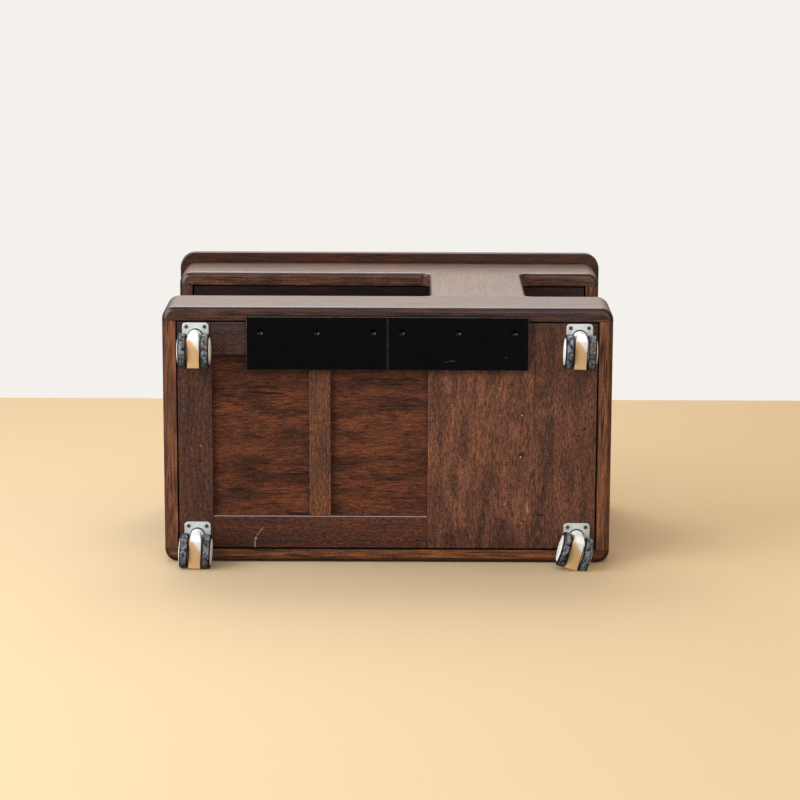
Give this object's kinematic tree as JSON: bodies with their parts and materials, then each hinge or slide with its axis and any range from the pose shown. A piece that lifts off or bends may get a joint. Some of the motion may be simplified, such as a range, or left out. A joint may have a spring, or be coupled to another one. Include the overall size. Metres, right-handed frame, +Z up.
{
  "type": "side table on casters",
  "caption": "Dark wooden side table on swivel casters: an open tray base and a closed box under an overhanging top, joined by an off-centre hollow pedestal and weighted at the back.",
  "frame": {"origin": "on the floor under the middle of the tabletop", "axes": "+Z up, +Y towards the back edge that carries the counterweights, +X towards the right-hand end seen from the front, away from the pedestal"},
  "size_m": [0.66, 0.406, 0.5003],
  "materials": {
    "stained_wood": "dark walnut stain under satin lacquer",
    "panel_wood": "dark walnut stain, lengthwise grain",
    "black_steel": "matt black paint, lightly scuffed",
    "screw_steel": "darkened steel",
    "zinc_steel": "bright zinc plate",
    "ivory_plastic": "moulded ivory nylon",
    "tyre_rubber": "dusty dark grey rubber",
    "hub_plastic": "moulded cream plastic"
  },
  "bodies": {
    "table": {"tabletop": "stained_wood", "box_rail_back": "stained_wood", "box_rail_front": "stained_wood", "box_rail_left": "stained_wood", "box_rail_right": "stained_wood", "box_cleat_back": "stained_wood", "box_cleat_front": "stained_wood", "box_panel": "panel_wood", "pedestal_board_back": "stained_wood", "pedestal_board_front": "stained_wood", "pedestal_wall_left": "stained_wood", "pedestal_wall_right": "stained_wood", "base_rail_back": "stained_wood", "base_rail_front": "stained_wood", "base_rail_left": "stained_wood", "base_rail_right": "stained_wood", "base_floor": "panel_wood", "base_stile_right": "stained_wood", "base_stile_middle": "stained_wood", "base_batten_back": "stained_wood", "base_batten_front": "stained_wood", "base_wide_board": "stained_wood", "counterweight_left": "black_steel", "counterweight_right": "black_steel", "counterweight_screw_left_1": "screw_steel", "counterweight_screw_left_2": "screw_steel", "counterweight_screw_left_3": "screw_steel", "counterweight_screw_right_1": "screw_steel", "counterweight_screw_right_2": "screw_steel", "counterweight_screw_right_3": "screw_steel", "caster_back_right_plate": "zinc_steel", "caster_back_left_plate": "zinc_steel", "caster_front_right_plate": "zinc_steel", "caster_front_left_plate": "zinc_steel"},
    "back_right_caster": {"caster_back_right_body": "ivory_plastic", "caster_back_right_axle": "screw_steel"},
    "back_right_wheel_right": {"caster_back_right_tyre_right": "tyre_rubber", "caster_back_right_hub_right": "hub_plastic"},
    "back_right_wheel_left": {"caster_back_right_tyre_left": "tyre_rubber", "caster_back_right_hub_left": "hub_plastic"},
    "back_left_caster": {"caster_back_left_body": "ivory_plastic", "caster_back_left_axle": "screw_steel"},
    "back_left_wheel_right": {"caster_back_left_tyre_right": "tyre_rubber", "caster_back_left_hub_right": "hub_plastic"},
    "back_left_wheel_left": {"caster_back_left_tyre_left": "tyre_rubber", "caster_back_left_hub_left": "hub_plastic"},
    "front_right_caster": {"caster_front_right_body": "ivory_plastic", "caster_front_right_axle": "screw_steel"},
    "front_right_wheel_right": {"caster_front_right_tyre_right": "tyre_rubber", "caster_front_right_hub_right": "hub_plastic"},
    "front_right_wheel_left": {"caster_front_right_tyre_left": "tyre_rubber", "caster_front_right_hub_left": "hub_plastic"},
    "front_left_caster": {"caster_front_left_body": "ivory_plastic", "caster_front_left_axle": "screw_steel"},
    "front_left_wheel_right": {"caster_front_left_tyre_right": "tyre_rubber", "caster_front_left_hub_right": "hub_plastic"},
    "front_left_wheel_left": {"caster_front_left_tyre_left": "tyre_rubber", "caster_front_left_hub_left": "hub_plastic"}
  },
  "joints": [
    {"name": "back_right_swivel", "type": "hinge", "parent": "table", "child": "back_right_caster", "pos_m": [0.2747, 0.1465, 0.0555], "axis": [0, 0, 1], "continuous": true},
    {"name": "back_right_wheel_right_spin", "type": "hinge", "parent": "back_right_caster", "child": "back_right_wheel_right", "pos_m": [0.2747, 0.1305, 0.025], "axis": [1, 0, 0], "continuous": true},
    {"name": "back_right_wheel_left_spin", "type": "hinge", "parent": "back_right_caster", "child": "back_right_wheel_left", "pos_m": [0.2747, 0.1305, 0.025], "axis": [1, 0, 0], "continuous": true},
    {"name": "back_left_swivel", "type": "hinge", "parent": "table", "child": "back_left_caster", "pos_m": [-0.2747, 0.1465, 0.0555], "axis": [0, 0, 1], "continuous": true},
    {"name": "back_left_wheel_right_spin", "type": "hinge", "parent": "back_left_caster", "child": "back_left_wheel_right", "pos_m": [-0.274, 0.13052, 0.025], "axis": [0.999, 0.0436, 0], "continuous": true},
    {"name": "back_left_wheel_left_spin", "type": "hinge", "parent": "back_left_caster", "child": "back_left_wheel_left", "pos_m": [-0.274, 0.13052, 0.025], "axis": [0.999, 0.0436, 0], "continuous": true},
    {"name": "front_right_swivel", "type": "hinge", "parent": "table", "child": "front_right_caster", "pos_m": [0.2747, -0.1465, 0.0555], "axis": [0, 0, 1], "continuous": true},
    {"name": "front_right_wheel_right_spin", "type": "hinge", "parent": "front_right_caster", "child": "front_right_wheel_right", "pos_m": [0.27554, -0.16248, 0.025], "axis": [0.9986, 0.0523, 0], "continuous": true},
    {"name": "front_right_wheel_left_spin", "type": "hinge", "parent": "front_right_caster", "child": "front_right_wheel_left", "pos_m": [0.27554, -0.16248, 0.025], "axis": [0.9986, 0.0523, 0], "continuous": true},
    {"name": "front_left_swivel", "type": "hinge", "parent": "table", "child": "front_left_caster", "pos_m": [-0.2747, -0.1465, 0.0555], "axis": [0, 0, 1], "continuous": true},
    {"name": "front_left_wheel_right_spin", "type": "hinge", "parent": "front_left_caster", "child": "front_left_wheel_right", "pos_m": [-0.27048, -0.16193, 0.025], "axis": [0.9646, 0.2639, 0], "continuous": true},
    {"name": "front_left_wheel_left_spin", "type": "hinge", "parent": "front_left_caster", "child": "front_left_wheel_left", "pos_m": [-0.27048, -0.16193, 0.025], "axis": [0.9646, 0.2639, 0], "continuous": true}
  ]
}
